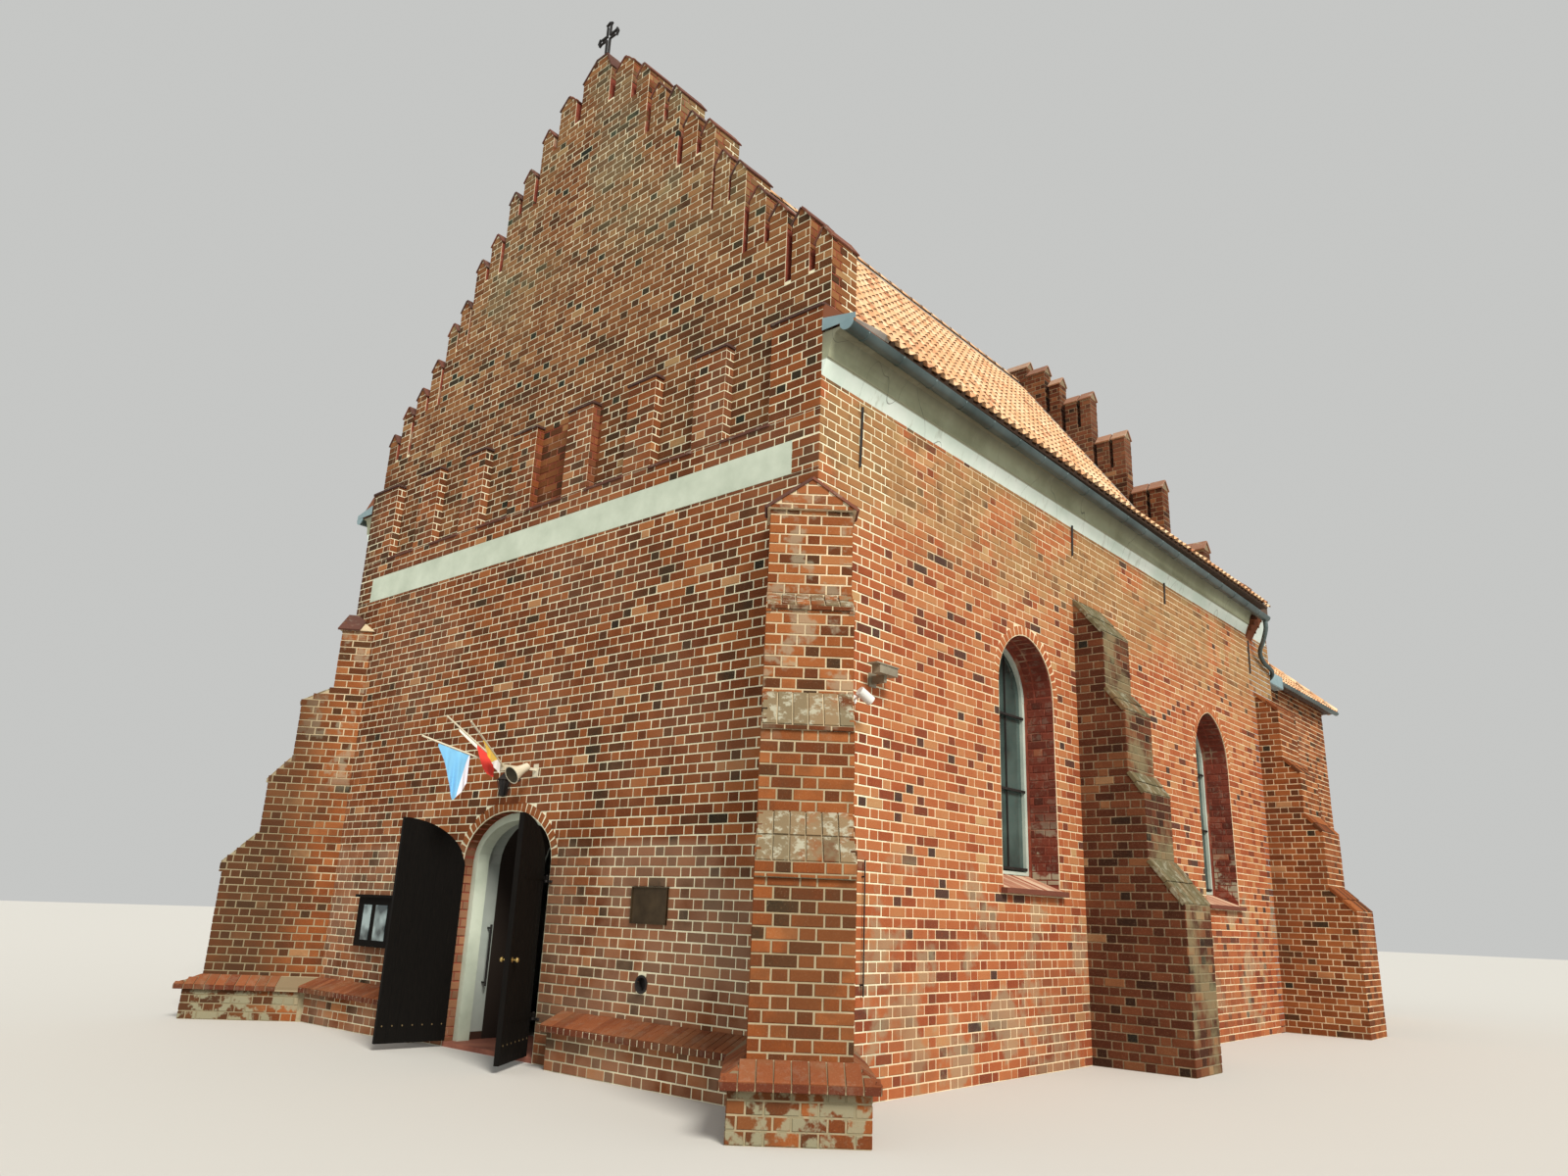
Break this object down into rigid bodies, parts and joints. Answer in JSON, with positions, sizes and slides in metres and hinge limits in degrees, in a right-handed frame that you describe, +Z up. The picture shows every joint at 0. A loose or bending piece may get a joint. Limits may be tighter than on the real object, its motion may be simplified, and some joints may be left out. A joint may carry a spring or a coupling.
{
  "type": "church building",
  "caption": "Brick village church with a stepped pinnacle gable, stepped buttresses, tiled roofs, a lower chancel and a pair of arched doors that swing outward.",
  "frame": {"origin": "middle of the footprint box at ground level", "axes": "+Z up, -Y towards the doorway gable, +X to the right of a person facing the doorway"},
  "size_m": [11.6804, 20.8998, 14.1903],
  "materials": {
    "brick": "rough hand-made red brick in lime mortar",
    "new_brick": "newer red brick",
    "plaster": "pale green-white lime plaster",
    "roof_tile": "orange clay pantiles",
    "zinc": "weathered blue-grey sheet",
    "iron": "black wrought iron",
    "dark_wood": "near-black brown boards",
    "window_glass": "leaded window glass",
    "floor_stone": "worn stone floor",
    "brass": "polished brass",
    "cream_paint": "cream enamel",
    "bronze": "dark bronze plate",
    "blue_cloth": "light blue and white flag cloth",
    "red_cloth": "white and red flag cloth",
    "yellow_cloth": "yellow and white flag cloth"
  },
  "bodies": {
    "building": {"front_wall_left": "brick", "front_wall_right": "brick", "front_wall_over": "brick", "front_gable": "brick", "plaster_band": "plaster", "gable_cross": "iron", "rear_wall": "brick", "rear_gable": "brick", "right_side_wall": "brick", "right_corner_buttress": "brick", "right_middle_buttress": "brick", "right_rear_buttress": "new_brick", "right_cornice": "plaster", "right_gutter": "zinc", "right_downpipe": "zinc", "right_chancel_wall": "brick", "right_window_near": "window_glass", "right_window_far": "window_glass", "right_chancel_window": "window_glass", "left_side_wall": "brick", "left_corner_buttress": "brick", "left_middle_buttress": "brick", "left_rear_buttress": "new_brick", "left_cornice": "plaster", "left_gutter": "zinc", "left_downpipe": "zinc", "left_chancel_wall": "brick", "left_window_near": "window_glass", "left_window_far": "window_glass", "left_chancel_window": "window_glass", "chancel_end_wall": "brick", "nave_roof": "roof_tile", "nave_ridge": "roof_tile", "rear_roof": "roof_tile", "chancel_roof": "roof_tile", "floor": "floor_stone", "threshold": "brick", "doorway_frame": "plaster", "left_lower_pintle": "iron", "left_upper_pintle": "iron", "right_lower_pintle": "iron", "right_upper_pintle": "iron", "grab_bar": "iron", "notice_case": "dark_wood", "plaque": "bronze", "lantern": "iron", "horn_speaker": "cream_paint", "camera": "cream_paint", "wall_lamp": "cream_paint", "flag_poles": "dark_wood", "flag_left": "blue_cloth", "flag_middle": "red_cloth", "flag_right": "yellow_cloth"},
    "left_door": {"left_leaf": "dark_wood"},
    "right_door": {"right_leaf": "dark_wood", "outer_knob": "brass", "inner_knob": "brass"}
  },
  "joints": [
    {"name": "left_door_swing", "type": "hinge", "parent": "building", "child": "left_door", "pos_m": [-0.835, -9.02012, 0], "axis": [0, 0, 1], "range_deg": [-43, 95]},
    {"name": "right_door_swing", "type": "hinge", "parent": "building", "child": "right_door", "pos_m": [0.835, -9.02012, 0], "axis": [0, 0, 1], "range_deg": [-125, 13]}
  ]
}
